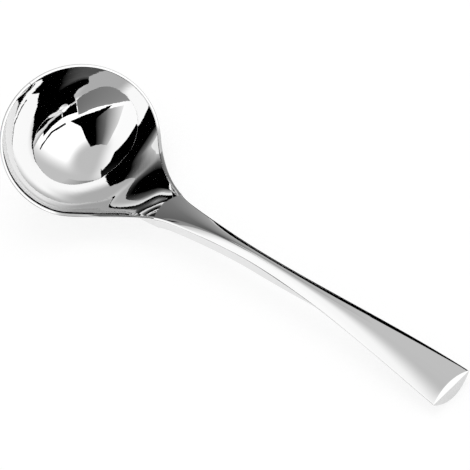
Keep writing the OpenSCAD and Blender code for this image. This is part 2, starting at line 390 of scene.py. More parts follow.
    def belly_share(self, x: float, shares: np.ndarray) -> np.ndarray:
        """How the belly falls across a station: boxy at the neck, lens shaped at the end.

        Args:
            x: Station on the centre line.
            shares: Places across, as shares of the half width.

        Returns:
            The share of the belly's depth at each place.
        """
        change = step_up(x, self.waist_x, self.shoulder_x)
        power = self.boxy_power + (self.lens_power - self.boxy_power) * change
        root = self.boxy_power + (self.lens_root - self.boxy_power) * change
        return np.maximum(0, 1 - np.minimum(1, np.abs(shares))**power)**(1 / root)

    def under_depth(self, x: float, y: np.ndarray, w: float) -> np.ndarray:
        """Depth of the outside of the bowl, with the keel that runs back under the neck.

        Args:
            x: Station on the centre line.
            y: Places across the ladle.
            w: Half width of the outside at x.

        Returns:
            The depth at each place, blended softly where the keel meets the bowl.
        """
        sheet = self.sheet_depth(x, y, w, 0)
        if x < self.keel_x:
            return sheet
        keel = self.keel_depth * self.belly_share(self.neck_x, 2 * y / self.neck_w)
        blend = self.keel_blend_share * self.keel_depth * (1 - step_up(x, self.keel_x, self.neck_x))
        blend = max(blend, self.wall * self.least_share)
        near = np.maximum(0, blend - np.abs(sheet - keel)) / blend
        return np.maximum(sheet, keel) + near * near * blend / 4

    def bow(self, x: float, y: np.ndarray) -> np.ndarray:
        """How far the crease draws the metal back towards the bowl.

        Args:
            x: Station on the centre line.
            y: Places across the ladle.

        Returns:
            The way back along the neck at each place.
        """
        if x < self.neck_x:
            fade = step_up(x, self.neck_x * self.bow_start_share, self.neck_x)
        else:
            fade = 1 - step_up(x, self.neck_x, self.neck_x * self.bow_end_share)
        return self.crease_bow * fade * np.maximum(0, 1 - (2 * y / self.neck_w)**2)

    @cached_property
    def tilt(self) -> float:
        """The tilt at which the bowl and the tip of the handle stand on one plane.

        Returns:
            The tilt, in radians.
        """
        slant = math.tan(math.radians(self.lower_facet))
        tip_x = self.end_x + self.end_belly * (math.sin(self.end_angle)
                                               + slant * math.cos(self.end_angle))
        tip_z = self.end_rise - self.end_belly * (math.cos(self.end_angle)
                                                  - slant * math.sin(self.end_angle))
        ball_a, ball_b = self.half_len / self.bowl_fullness, self.ball_h(0)

        def tilt_for(lift: float) -> float:
            """The tilt at which the bowl's underside lies lower than the tip's plane.

            Args:
                lift: How much lower it lies, measured upright.

            Returns:
                The tilt, in radians.
            """
            a = tip_x**2 - ball_a**2
            c = tip_z - self.ball_z(0) - lift
            root = math.sqrt(tip_x**2 * c**2 - a * (c**2 - ball_b**2))
            return math.atan((tip_x * c + root) / a)

        return tilt_for(self.foot_cut / math.cos(tilt_for(self.foot_cut)))

    @cached_property
    def foot(self) -> tuple[float, float]:
        """The point under the bowl that the resting flat is cut around.

        Returns:
            Its place along the ladle and its height over the rim plane.
        """
        ball_a, ball_b = self.half_len / self.bowl_fullness, self.ball_h(0)
        reach = math.hypot(ball_a * math.sin(self.tilt), ball_b * math.cos(self.tilt))
        return (ball_a**2 * math.sin(self.tilt) / reach,
                self.ball_z(0) - ball_b**2 * math.cos(self.tilt) / reach)

    def rest(self, x: np.ndarray, y: np.ndarray, z: np.ndarray) -> np.ndarray:
        """Moves points from the rim's frame to the frame of the ladle at rest.

        Args:
            x: Places along the ladle.
            y: Places across the ladle.
            z: Heights over the rim plane.

        Returns:
            The points at rest, one row each.
        """
        x = x - self.foot[0]
        z = z - self.foot[1]
        c, s = math.cos(self.tilt), math.sin(self.tilt)
        return np.stack([x * c + z * s, y + 0 * x, z * c - x * s - self.foot_cut], axis=-1)

    def at_station(self, x: float, y: np.ndarray, depth: np.ndarray,
                   along: float | np.ndarray = 0.0) -> np.ndarray:
        """Points under the edge line of a station, measured along the section's own lean.

        Args:
            x: Station on the centre line.
            y: Places across the ladle.
            depth: Depths below the side edges.
            along: How far each point lies further along the handle.

        Returns:
            The points at rest, one row each.
        """
        lean = self.lean(x)
        back = self.bow(x, y)
        return self.rest(
            x + along * math.cos(lean) + depth * math.sin(lean) - back * math.cos(self.neck_angle), y,
            self.edge_z(x) + along * math.sin(lean) - depth * math.cos(lean)
            - back * math.sin(self.neck_angle))


@dataclass(frozen=True)
class EdgeSoftening:
    """How the sharp side edges are rounded by polishing, in millimetres along each face."""

    at_neck: float = 0.7
    at_end: float = 0.65
    steps: int = 6
    samples: int = 1200
    lead_share: float = 0.25

    def reach(self, profile: Profile, x: float) -> float:
        """How far the rounding reaches up each face at station x."""
        return self.at_neck + (self.at_end - self.at_neck) * step_up(x, profile.neck_x,
                                                                     profile.end_x)


def meet(p: np.ndarray, p_way: np.ndarray, q: np.ndarray, q_way: np.ndarray) -> np.ndarray:
    """The point where the line through p along p_way meets the line through q along q_way."""
    share = np.linalg.solve(np.stack([p_way, -q_way], axis=1), q - p)[0]
    return p + share * p_way


def softened_section(profile: Profile, x: float, count: int,
                     soft: EdgeSoftening) -> tuple[np.ndarray, np.ndarray]:
    """The handle's section at a station, with its side edges rounded by polishing.

    Args:
        profile: The ladle's sizes.
        x: Station on the centre line.
        count: Points along each of the two faces, an odd number.
        soft: The rounding of the side edges.

    Returns:
        The upper and the lower face from -Y to +Y, as rows of y and depth below the side edges.
    """
    w = profile.outline_w(x)
    reach = soft.reach(profile, x)
    fine = np.linspace(0, 1, soft.samples)
    halves = []
    ends = []
    for depth in (-profile.crown(x) * (1 - fine**2), profile.belly(x) * profile.belly_share(x, fine)):
        line = np.stack([fine * w, depth], axis=1)
        length = np.concatenate([[0], np.cumsum(np.linalg.norm(np.diff(line, axis=0), axis=1))])
        stop = length[-1] - reach
        end, before = (np.array([np.interp(place, length, line[:, i]) for i in range(2)])
                       for place in (stop, stop - reach * soft.lead_share))
        halves.append((line, length, stop))
        ends.append((end, end - before))
    corner = meet(*ends[0], *ends[1])
    t = np.linspace(0, 1, 2 * soft.steps + 1)[:, None]
    bend = (1 - t)**2 * ends[0][0] + 2 * t * (1 - t) * corner + t**2 * ends[1][0]
    flat_count = (count + 1) // 2 - soft.steps
    rows = []
    for (line, length, stop), piece in zip(halves, (bend[1:soft.steps + 1],
                                                    bend[soft.steps:-1][::-1])):
        places = np.linspace(0, stop, flat_count)
        half = np.stack([np.interp(places, length, line[:, i]) for i in range(2)], axis=1)
        half = np.concatenate([half, piece])
        left = half[:0:-1] * np.array([-1, 1])
        rows.append(np.concatenate([left, half]))
    return rows[0], rows[1]


def middle(loop: np.ndarray) -> np.ndarray:
    """The loop drawn together onto the line half way between its upper and its lower row."""
    line = (loop[:len(loop) // 2] + loop[:len(loop) // 2 - 1:-1]) / 2
    return np.concatenate([line, line[::-1]])


def ring(upper: np.ndarray, lower: np.ndarray) -> np.ndarray:
    """One closed loop from an upper and a lower row that both run from -Y to +Y."""
    return np.concatenate([upper, lower[::-1]])


def section_ring(profile: Profile, x: float, count: int, soft: EdgeSoftening) -> np.ndarray:
    """The handle's softened section at a station, as one closed loop.

    Args:
        profile: The ladle's sizes.
        x: Station on the centre line.
        count: Points along each of the two faces, an odd number.
        soft: The rounding of the side edges.

    Returns:
        The points at rest, one row each.
    """
    upper, lower = softened_section(profile, x, count, soft)
    return ring(profile.at_station(x, upper[:, 0], upper[:, 1]),
                profile.at_station(x, lower[:, 0], lower[:, 1]))


class Sheet:
    """A fine blank that is pressed to shape and closed, the way a die presses a piece."""

    @staticmethod
    def press(name: str, loops: list[np.ndarray], sharp_degrees: float) -> bpy.types.Object:
        """Presses a blank onto a row of loops, closes it and smooths all but its sharp edges.

        Args:
            name: Name of the new piece.
            loops: Closed loops with equal counts of points, in millimetres at rest.
            sharp_degrees: Edges that turn by more than this stay sharp.

        Returns:
            The piece, a closed mesh in metres with its object at the origin.
        """
        bpy.ops.object.select_all(action="DESELECT")
        across = len(loops[0])
        bpy.ops.mesh.primitive_grid_add(x_subdivisions=across, y_subdivisions=len(loops) - 1)
        piece = bpy.context.object
        piece.name = name
        piece.data.name = name
        closed = [np.concatenate([loop, loop[:1]]) for loop in loops]
        places = np.concatenate(closed) * MM
        piece.data.vertices.foreach_set("co", places.astype(np.float32).ravel())
        bpy.ops.object.mode_set(mode="EDIT")
        bpy.ops.mesh.select_all(action="SELECT")
        bpy.ops.mesh.remove_doubles(threshold=WELD_MM * MM)
        bpy.ops.mesh.normals_make_consistent(inside=False)
        bpy.ops.object.mode_set(mode="OBJECT")
        bpy.ops.object.shade_smooth_by_angle(angle=math.radians(sharp_degrees))
        return piece


def linear_rgba(hex_colour: str) -> tuple[float, float, float, float]:
    """Turns an sRGB hex colour to linear values.

    Args:
        hex_colour: The colour, such as #d0d2d4.

    Returns:
        Red, green and blue, with full alpha.
    """
    digits = hex_colour.lstrip("#")
    values = [int(digits[i:i + 2], 16) / 255 for i in (0, 2, 4)]
    linear = [v / 12.92 if v <= 0.04045 else ((v + 0.055) / 1.055)**2.4 for v in values]
    return (linear[0], linear[1], linear[2], 1.0)


def add_node(tree: bpy.types.NodeTree, kind: str, settings: dict[str, Any] | None = None,
             inputs: dict[Any, Any] | None = None) -> bpy.types.Node:
    """Adds a node with its settings, and sets or links its inputs.

    Args:
        tree: The tree that gets the node.
        kind: The node's type name.
        settings: Attributes of the node.
        inputs: Values or output sockets for the node's inputs, by name or number.

    Returns:
        The new node.
    """
    node = tree.nodes.new(kind)
    for key, value in (settings or {}).items():
        setattr(node, key, value)
    for key, value in (inputs or {}).items():
        if isinstance(value, bpy.types.NodeSocket):
            tree.links.new(value, node.inputs[key])
        else:
            node.inputs[key].default_value = value
    return node


def new_material(name: str) -> tuple[bpy.types.Material, bpy.types.NodeTree]:
    """Makes an empty material.

    Args:
        name: What the material is and how its surface was made.

    Returns:
        The material and its node tree.
    """
    material = bpy.data.materials.new(name)
    material.use_nodes = True
    material.node_tree.nodes.clear()
    return material, material.node_tree


def per_metre(size_mm: float) -> float:
    """The scale at which a pattern's marks are about size_mm wide."""
    return 1 / (size_mm * MM)


class Buffing(Enum):
    """Which way the buffing wheel ran over a piece."""

    ROUND_THE_BOWL = "round_the_bowl"
    ALONG_THE_HANDLE = "along_the_handle"

    def lay(self, tree: bpy.types.NodeTree, place: bpy.types.NodeSocket,
            length_share: float) -> bpy.types.NodeSocket:
        """The place drawn together along the buffing, so that noise turns into streaks.

        Args:
            tree: The material's tree.
            place: The place on the piece.
            length_share: Width of a streak as a share of its length.

        Returns:
            The place that the noise of the streaks reads.
        """
        if self is Buffing.ALONG_THE_HANDLE:
            return add_node(tree, "ShaderNodeVectorMath", {"operation": "MULTIPLY"},
                            {0: place, 1: (length_share, 1, 1)}).outputs["Vector"]
        flat = add_node(tree, "ShaderNodeVectorMath", {"operation": "MULTIPLY"},
                        {0: place, 1: (1, 1, 0)})
        radius = add_node(tree, "ShaderNodeVectorMath", {"operation": "LENGTH"},
                          {0: flat.outputs["Vector"]})
        height = add_node(tree, "ShaderNodeSeparateXYZ", None, {0: place})
        across = add_node(tree, "ShaderNodeCombineXYZ", None,
                          {"X": radius.outputs["Value"], "Z": height.outputs["Z"]})
        slow = add_node(tree, "ShaderNodeVectorMath", {"operation": "MULTIPLY"},
                        {0: place, 1: (length_share,) * 3})
        return add_node(tree, "ShaderNodeVectorMath", {"operation": "ADD"},
                        {0: across.outputs["Vector"], 1: slow.outputs["Vector"]}).outputs["Vector"]


@dataclass(frozen=True)
class PolishedSteel:
    """Stainless steel buffed to a mirror.

    Soft waves that pressing leaves in the sheet make the mirrored edges waver. Streaks that run
    the way of the buffing wheel fray them a little and vary the sharpness of the mirror, so that
    it is nowhere as even as glass. Real buffing lines are too fine to show, so the streaks are
    drawn a millimetre wide.
    """

    name: str
    buffing: Buffing
    colour: str = "#e8e8e8"
    roughness: float = 0.012
    haze: float = 0.012
    haze_from: float = 0.35
    haze_to: float = 0.75
    wave_mm: float = 9.0
    wave_height_mm: float = 0.012
    wave_detail: float = 1.0
    streak_mm: float = 1.0
    streak_height_mm: float = 0.0006
    streak_share: float = 0.08
    streak_detail: float = 2.0

    def build(self) -> bpy.types.Material:
        """Makes the material.

        Returns:
            The finish, ready for a piece.
        """
        material, tree = new_material(self.name)
        place = add_node(tree, "ShaderNodeTexCoord").outputs["Object"]
        waves = add_node(tree, "ShaderNodeTexNoise", None,
                         {"Vector": place, "Scale": per_metre(self.wave_mm),
                          "Detail": self.wave_detail})
        streaks = add_node(tree, "ShaderNodeTexNoise", None,
                           {"Vector": self.buffing.lay(tree, place, self.streak_share),
                            "Scale": per_metre(self.streak_mm), "Detail": self.streak_detail})
        shine = add_node(tree, "ShaderNodeMapRange", None,
                         {"Value": streaks.outputs["Fac"], "From Min": self.haze_from,
                          "From Max": self.haze_to, "To Min": self.roughness,
                          "To Max": self.roughness + self.haze})
        bump = add_node(tree, "ShaderNodeBump", None,
                        {"Height": waves.outputs["Fac"], "Distance": self.wave_height_mm * MM})
        bump = add_node(tree, "ShaderNodeBump", None,
                        {"Height": streaks.outputs["Fac"],
                         "Distance": self.streak_height_mm * MM,
                         "Normal": bump.outputs["Normal"]})
        steel = add_node(tree, "ShaderNodeBsdfPrincipled", None,
                         {"Base Color": linear_rgba(self.colour), "Metallic": 1.0,
                          "Roughness": shine.outputs["Result"], "Normal": bump.outputs["Normal"]})
        add_node(tree, "ShaderNodeOutputMaterial", None, {"Surface": steel.outputs["BSDF"]})
        return material


@dataclass(frozen=True)
class ForgedSteel:
    """Forged stainless steel, pickled after forging.

    The acid leaves a dull, even grey with darker clouds where scale sat, and the die leaves a
    shallow grain. Nobody buffs the tang, because the handle hides it.
    """

    name: str
    pale: str = "#a9acae"
    dark: str = "#7f8284"
    cloud_mm: float = 3.0
    cloud_detail: float = 3.0
    grain_mm: float = 0.25
    grain_height_mm: float = 0.02
    grain_detail: float = 2.0
    least_roughness: float = 0.38
    most_roughness: float = 0.55

    def build(self) -> bpy.types.Material:
        """Makes the material.

        Returns:
            The finish, ready for a piece.
        """
        material, tree = new_material(self.name)
        place = add_node(tree, "ShaderNodeTexCoord").outputs["Object"]
        clouds = add_node(tree, "ShaderNodeTexNoise", None,
                          {"Vector": place, "Scale": per_metre(self.cloud_mm),
                           "Detail": self.cloud_detail})
        grain = add_node(tree, "ShaderNodeTexNoise", None,
                         {"Vector": place, "Scale": per_metre(self.grain_mm),
                          "Detail": self.grain_detail})
        tint = add_node(tree, "ShaderNodeMix", {"data_type": "RGBA"},
                        {0: clouds.outputs["Fac"], 6: linear_rgba(self.dark),
                         7: linear_rgba(self.pale)})
        rough = add_node(tree, "ShaderNodeMapRange", None,
                         {"Value": clouds.outputs["Fac"], "To Min": self.most_roughness,
                          "To Max": self.least_roughness})
        bump = add_node(tree, "ShaderNodeBump", None,
                        {"Height": grain.outputs["Fac"], "Distance": self.grain_height_mm * MM})
        steel = add_node(tree, "ShaderNodeBsdfPrincipled", None,
                         {"Base Color": tint.outputs[2], "Metallic": 1.0,
                          "Roughness": rough.outputs["Result"], "Normal": bump.outputs["Normal"]})
        add_node(tree, "ShaderNodeOutputMaterial", None, {"Surface": steel.outputs["BSDF"]})
        return material


@dataclass(frozen=True)
class HandleCement:
    """Set handle cement: mineral powder bound with resin, poured in hot.

    It is dull, buff and grainy, speckled with darker powder, and pitted where bubbles burst.
    """

    name: str
    ground: str = "#c9bca4"
    speckle: str = "#8f8473"
    speckle_mm: float = 0.4
    speckle_detail: float = 2.0
    speckle_from: float = 0.55
    speckle_to: float = 0.7
    pit_mm: float = 1.2
    pit_height_mm: float = 0.12
    pit_from: float = 0.05
    pit_to: float = 0.3
    roughness: float = 0.85

    def build(self) -> bpy.types.Material:
        """Makes the material.

        Returns:
            The finish, ready for a piece.
        """
        material, tree = new_material(self.name)
        place = add_node(tree, "ShaderNodeTexCoord").outputs["Object"]
        powder = add_node(tree, "ShaderNodeTexNoise", None,
                          {"Vector": place, "Scale": per_metre(self.speckle_mm),
                           "Detail": self.speckle_detail})
        share = add_node(tree, "ShaderNodeMapRange", None,
                         {"Value": powder.outputs["Fac"], "From Min": self.speckle_from,
                          "From Max": self.speckle_to})
        tint = add_node(tree, "ShaderNodeMix", {"data_type": "RGBA"},
                        {0: share.outputs["Result"], 6: linear_rgba(self.ground),
                         7: linear_rgba(self.speckle)})
        bubbles = add_node(tree, "ShaderNodeTexVoronoi", None,
                           {"Vector": place, "Scale": per_metre(self.pit_mm)})
        pits = add_node(tree, "ShaderNodeMapRange", None,
                        {"Value": bubbles.outputs["Distance"], "From Min": self.pit_from,
                         "From Max": self.pit_to})
        bump = add_node(tree, "ShaderNodeBump", None,
                        {"Height": pits.outputs["Result"], "Distance": self.pit_height_mm * MM})
        cement = add_node(tree, "ShaderNodeBsdfPrincipled", None,
                          {"Base Color": tint.outputs[2], "Roughness": self.roughness,
                           "Normal": bump.outputs["Normal"]})
        add_node(tree, "ShaderNodeOutputMaterial", None, {"Surface": cement.outputs["BSDF"]})
        return material


def dress(piece: bpy.types.Object, material: bpy.types.Material) -> None:
    """Gives the piece one material."""
    piece.data.materials.clear()
    piece.data.materials.append(material)


@dataclass
class Bowl:
    """The drawn bowl with its rounded rim land, its trough and the solid neck."""

    profile: Profile
    soft: EdgeSoftening
    face_points: int = 115
    rim_steps: int = 5
    back_steps: int = 90
    front_steps: int = 130
    first_degrees: float = 0.3
    sharp_degrees: float = 28.0

    @property
    def row_count(self) -> int:
        """Points along the inner half of a loop, from one middle of the land to the other."""
        return self.face_points + 2 * (self.rim_steps + 1)

    def land(self, x: float, w: float, other: np.ndarray, side: int) -> np.ndarray:
        """Points from the end of a face, round its edge, to the middle of the rim land.

        Args:
            x: Station of the face.
            w: Half width of the face.
            other: The other edge of the land.
            side: The side of the ladle, -1 or 1.

        Returns:
            The points, one row each.
        """
        p = self.profile
        edge = p.at_station(x, np.array([side * w]), np.array([0.0]))[0]
        face = p.at_station(x, np.array([side * w]), np.array([p.rim_round]))[0]
        start = edge + (other - edge) * (p.rim_round / p.wall)
        t = np.linspace(0, 1, self.rim_steps + 1)[1:, None]
        bend = (1 - t)**2 * face + 2 * t * (1 - t) * edge + t**2 * start
        return np.concatenate([bend, [(edge + other) / 2]])

    def loop(self, inner_x: float, outer_x: float) -> np.ndarray:
        """The loop through the sheet at one place.

        Args:
            inner_x: Station of the inner face.
            outer_x: Station of the outer face.

        Returns:
            The closed loop: inner face, lands and outer face.
        """
        p = self.profile
        inner_w, outer_w = p.outline_w(inner_x, p.wall), p.outline_w(outer_x)
        shares = spread(self.face_points)
        inner_y, outer_y = shares * inner_w, shares * outer_w
        inner = p.at_station(inner_x, inner_y, p.sheet_depth(inner_x, inner_y, inner_w, p.wall))
        outer = p.at_station(outer_x, outer_y, p.under_depth(outer_x, outer_y, outer_w))
        outer[:, 2] = np.maximum(outer[:, 2], 0)
        rows = []
        for face, x, w, far_x, far_w in ((inner, inner_x, inner_w, outer_x, outer_w),
                                         (outer, outer_x, outer_w, inner_x, inner_w)):
            ends = []
            for side in (-1, 1):
                far = p.at_station(far_x, np.array([side * far_w]), np.array([0.0]))[0]
                ends.append(self.land(x, w, far, side))
            rows.append(np.concatenate([ends[0][::-1], face, ends[1]]))
        return ring(rows[0], rows[1])

    def crease(self) -> np.ndarray:
        """The loop where the bowl ends at the crease, on the outline of the handle."""
        return section_ring(self.profile, self.profile.neck_x, self.row_count, self.soft)

    def socket(self, along: float) -> np.ndarray:
        """A loop of the socket that holds the tang.

        Args:
            along: How far the loop lies beyond the crease.

        Returns:
            The closed loop.
        """
        p = self.profile
        level = (p.keel_depth - p.neck_crown) / 2
        shares = spread(self.row_count)
        across = shares * (p.tang_neck_w / 2 + p.fit_gap)
        bulge = (p.tang_t / 2 + p.fit_gap) * p.belly_share(p.neck_x, shares)
        return ring(p.at_station(p.neck_x, across, level - bulge, along),
                    p.at_station(p.neck_x, across, level + bulge, along))

    def build(self) -> bpy.types.Object:
        """Presses the bowl.

        Returns:
            The bowl, from its back edge to the socket in its neck.
        """
        p = self.profile
        back = np.radians(np.linspace(self.first_degrees, 90, self.back_steps, endpoint=False))
        front = np.linspace(0, p.neck_x * (1 - p.least_share), self.front_steps)
        loops = [self.loop(-(p.half_len - p.wall) * math.cos(a), -p.half_len * math.cos(a))
                 for a in back]
        loops += [self.loop(x, x) for x in front]
        loops += [self.crease(), self.socket(0), self.socket(-p.spigot_len - p.fit_gap)]
        piece = Sheet.press("polished_bowl", [middle(loops[0]), *loops, middle(loops[-1])],
                            self.sharp_degrees)
        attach(piece, BODY)
        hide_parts("bowl")
        return piece


class Half(Enum):
    """The two halves of the hollow handle, by the name of their node."""

    UPPER = "handle_upper_shell"
    LOWER = "handle_lower_shell"


@dataclass
class Handle:
    """The hollow handle: two pressed shells and the faceted plate that closes the end."""

    profile: Profile
    soft: EdgeSoftening
    row_points: int = 97
    stations: int = 240
    plate_points: int = 65
    shell_sharp_degrees: float = 28.0
    plate_sharp_degrees: float = 8.0

    def shell(self, half: Half) -> bpy.types.Object:
        """Presses one half of the handle.

        Args:
            half: Which half it is.

        Returns:
            The shell, from the crease to the end plate.
        """
        p = self.profile
        loops = []
        shares = np.linspace(-1, 1, self.row_points)
        for x in np.linspace(p.neck_x, p.plate_x, self.stations):
            upper, lower = softened_section(p, x, self.row_points, self.soft)
            across = shares * (p.outline_w(x) - p.shell_t)
            if half is Half.UPPER:
                inside = (p.shell_t - p.crown(x)) * (1 - shares**2)
                loops.append(ring(p.at_station(x, upper[:, 0], upper[:, 1]),
                                  p.at_station(x, across, inside)))
            else:
                inside = (p.belly(x) - p.shell_t) * p.belly_share(x, shares)
                loops.append(ring(p.at_station(x, across, inside),
                                  p.at_station(x, lower[:, 0], lower[:, 1])))
        piece = Sheet.press("polished_" + half.value,
                            [middle(loops[0]), *loops, middle(loops[-1])],
                            self.shell_sharp_degrees)
        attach(piece, BODY)
        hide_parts(half.value)
        return piece

    def end_plate(self) -> bpy.types.Object:
        """Makes the plate whose two facets meet in a ridge from corner to corner.

        Returns:
            The end plate.
        """
        p = self.profile
        back = section_ring(p, p.plate_x, self.plate_points, self.soft)
        upper, lower = softened_section(p, p.end_x, self.plate_points, self.soft)
        seam = upper[0, 1]
        rows = []
        for row, degrees, sign in ((upper, p.upper_facet, -1), (lower, p.lower_facet, 1)):
            back_off = np.abs(row[:, 1] - seam) * math.tan(math.radians(degrees))
            rows.append(p.at_station(p.end_x, row[:, 0], row[:, 1], sign * back_off))
        front = ring(rows[0], rows[1])
        ridge_row = p.at_station(p.end_x, upper[:, 0], 0 * upper[:, 1] + seam)
        ridge = ring(ridge_row, ridge_row)
        piece = Sheet.press("polished_end_plate", [middle(back), back, front, ridge],
                            self.plate_sharp_degrees)
        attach(piece, BODY)
        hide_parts("handle_end_plate")
        return piece


BLACK = (0.0,) * 4


@dataclass(frozen=True)
class Card:
    """A studio card that only polished metal sees, so that its reflections have shape.

    Each corner is an azimuth and an elevation in degrees, with a distance in mm, all seen from
    the middle of the bowl. Azimuth 0 lies towards +X and 90 towards +Y. A corner below the table
    is laid on the table. The glow runs evenly from corner to corner, where 1 is white.
    """

    name: str
    distances_mm: tuple[float, ...]
    corners: tuple[tuple[float, float], ...]
    glows: tuple[float, ...] = BLACK
    cells: int = 8

    def place(self, eye_mm: tuple[float, float, float], lowest_mm: float) -> list[Vector]:
        """Finds the corners of the card.

        Args:
            eye_mm: The point that the corners are seen from.
            lowest_mm: The lowest height of a corner.

        Returns:
            The four corners, in metres.
        """
        places = []
        for (azimuth, elevation), distance in zip(self.corners, self.distances_mm):
            a, e = math.radians(azimuth), math.radians(elevation)
            way = Vector((math.cos(a) * math.cos(e), math.sin(a) * math.cos(e), math.sin(e)))
            place = Vector(eye_mm) + way * distance
            if place.z < lowest_mm:
                place = Vector(eye_mm) + way * (lowest_mm - eye_mm[2]) / way.z
            places.append(place * MM)
        return places

    def build(self, eye_mm: tuple[float, float, float], lowest_mm: float) -> bpy.types.Object:
        """Stands the card up.

        Args:
            eye_mm: The point that the corners are seen from.
            lowest_mm: The lowest height of a corner.

        Returns:
            The card, which takes no part in the object.
        """
        bpy.ops.object.select_all(action="DESELECT")
        bpy.ops.mesh.primitive_grid_add(x_subdivisions=self.cells, y_subdivisions=self.cells)
        card = bpy.context.object
        card.name = self.name
        places = self.place(eye_mm, lowest_mm)
        glow = card.data.attributes.new("glow", "FLOAT", "POINT")
        for vertex, value in zip(card.data.vertices, glow.data):
            u, v = (vertex.co.x + 1) / 2, (vertex.co.y + 1) / 2
            shares = ((1 - u) * (1 - v), u * (1 - v), u * v, (1 - u) * v)
            vertex.co = sum((place * share for place, share in zip(places, shares)), Vector())
            value.value = sum(one * share for one, share in zip(self.glows, shares))
        # The card glows with its own light, which only the metal's reflections see, so it gives the
        # metal a flat tone to mirror, with no bright spot in it.
        material, tree = new_material(self.name + "_glow_seen_in_metal")
        read = add_node(tree, "ShaderNodeAttribute", {"attribute_name": "glow"})
        paper = add_node(tree, "ShaderNodeEmission", None, {"Strength": read.outputs["Fac"]})
        add_node(tree, "ShaderNodeOutputMaterial", None, {"Surface": paper.outputs["Emission"]})
        dress(card, material)
        for rays in ("camera", "diffuse", "transmission", "volume_scatter", "shadow"):
            setattr(card, "visible_" + rays, False)
        return card


FAR_MM = (2400.0,) * 4
REAR_MM = (430.0,) * 4
WIDE_MM = (400.0,) * 4
SIDE_MM = (300.0,) * 4
NEAR_MM = (120.0,) * 4
CARDS = (
    # Black on the camera's side, and grey beside it
    Card("camera_gap_card", FAR_MM, ((-45, 30), (-19, 30), (-25, 68), (-48, 68))),
    Card("camera_gap_foot_card", FAR_MM, ((-46, 18), (-8, 15), (-19, 31), (-46, 31))),
    Card("camera_gap_side_card", FAR_MM, ((-68, 13), (-45, 18), (-45, 30), (-55, 24))),
    Card("side_dark_card", FAR_MM, ((-60, 18), (-44, 29), (-47, 68), (-64, 68)), (0.2, 0, 0, 0.12)),
    Card("side_grey_card", FAR_MM, ((-84, 14), (-60, 18), (-64, 68), (-88, 68)),
         (1.0, 0.2, 0.12, 0.6)),
    # A thin black line over the table, beyond the handle's end
    Card("thin_line_card", FAR_MM, ((-2, 12.5), (20, 8), (20, 10.5), (-2, 15))),
    Card("thin_line_end_card", FAR_MM, ((20, 8), (48, 8), (48, 9.7), (20, 10.5))),
    # Black and grey behind the bowl
    Card("rear_black_card", NEAR_MM, ((148, 27), (196, 27), (186, 64), (153, 60)), (0.05, 0, 0, 0)),
    Card("rear_side_black_card", NEAR_MM, ((196, 27), (240, 29), (214, 64), (186, 64))),
    Card("rear_wide_card", WIDE_MM, ((142, 36), (156, 36), (160, 70), (152, 55)),
         (0.24, 0.24, 0, 0.05)),
    Card("rear_edge_card", REAR_MM, ((100, 18), (150, 22), (150, 52), (96, 46)),
         (0.62, 0.2, 0.1, 0.62)),
    Card("rear_grey_card", REAR_MM, ((153, 36), (168, 36), (166, 62), (153, 62)),
         (0.24, 0.34, 0.4, 0.2)),
    # Low grey and black in front of the ladle
    Card("front_grey_card", SIDE_MM, ((-92, -14), (-20, -14), (-20, 13), (-92, 8)),
         (0.3, 0.18, 0.25, 0.35)),
    Card("front_black_card", (200, 200, 400, 400), ((-20, -6), (-2, -6), (0, 3), (-20, 8))),
    Card("handle_end_black_card", WIDE_MM, ((0, -3), (30, -3), (34, 3), (0, 3))),
    # White for the upper facet of the handle's end
    Card("end_white_card", WIDE_MM, ((-4, -6.4), (7.3, -6.4), (5.5, -4.8), (-4, -4.8)),
         (1.25,) * 4),
    # Black along the horizon and on the table, which draws the far edges
    Card("far_edge_card", FAR_MM, ((98, 0), (124, 0), (124, 17), (98, 22))),
    Card("neck_edge_card", FAR_MM, ((124, 0), (156, 0), (156, 22), (124, 17))),
    Card("horizon_card", FAR_MM, ((156, 0), (208, 0), (208, 14), (156, 22)), (0, 0.3, 0.4, 0.05)),
    Card("table_edge_card", (60, 200, 160, 90), ((113, -27), (9, -6.6), (30, -8), (100, -15))),
    Card("table_far_card", (90, 120, 2400, 2400), ((100, -15), (50, -10), (84, -0.7),
                                                   (124, -0.7))),
)


@dataclass(frozen=True)
class Sweep:
    """A glow of the light tent that changes from low to high as a ray turns to an azimuth.

    The change runs from the least to the most share, where 1 is straight towards the azimuth and
    -1 is straight away from it.
    """

    azimuth: float
    least_share: float
    most_share: float
    low: float
    high: float

    def build(self, tree: bpy.types.NodeTree, way: bpy.types.NodeSocket) -> bpy.types.NodeSocket:
        """Adds the sweep to the world.

        Args:
            tree: The world's tree.
            way: The way that a mirrored ray goes.

        Returns:
            The glow that it meets.
        """
        a = math.radians(self.azimuth)
        dot = add_node(tree, "ShaderNodeVectorMath", {"operation": "DOT_PRODUCT"},
                       {0: way, 1: (math.cos(a), math.sin(a), 0)})
        return add_node(tree, "ShaderNodeMapRange", {"interpolation_type": "SMOOTHSTEP"},
                        {"Value": dot.outputs["Value"], "From Min": self.least_share,
                         "From Max": self.most_share, "To Min": self.low,
                         "To Max": self.high}).outputs["Result"]


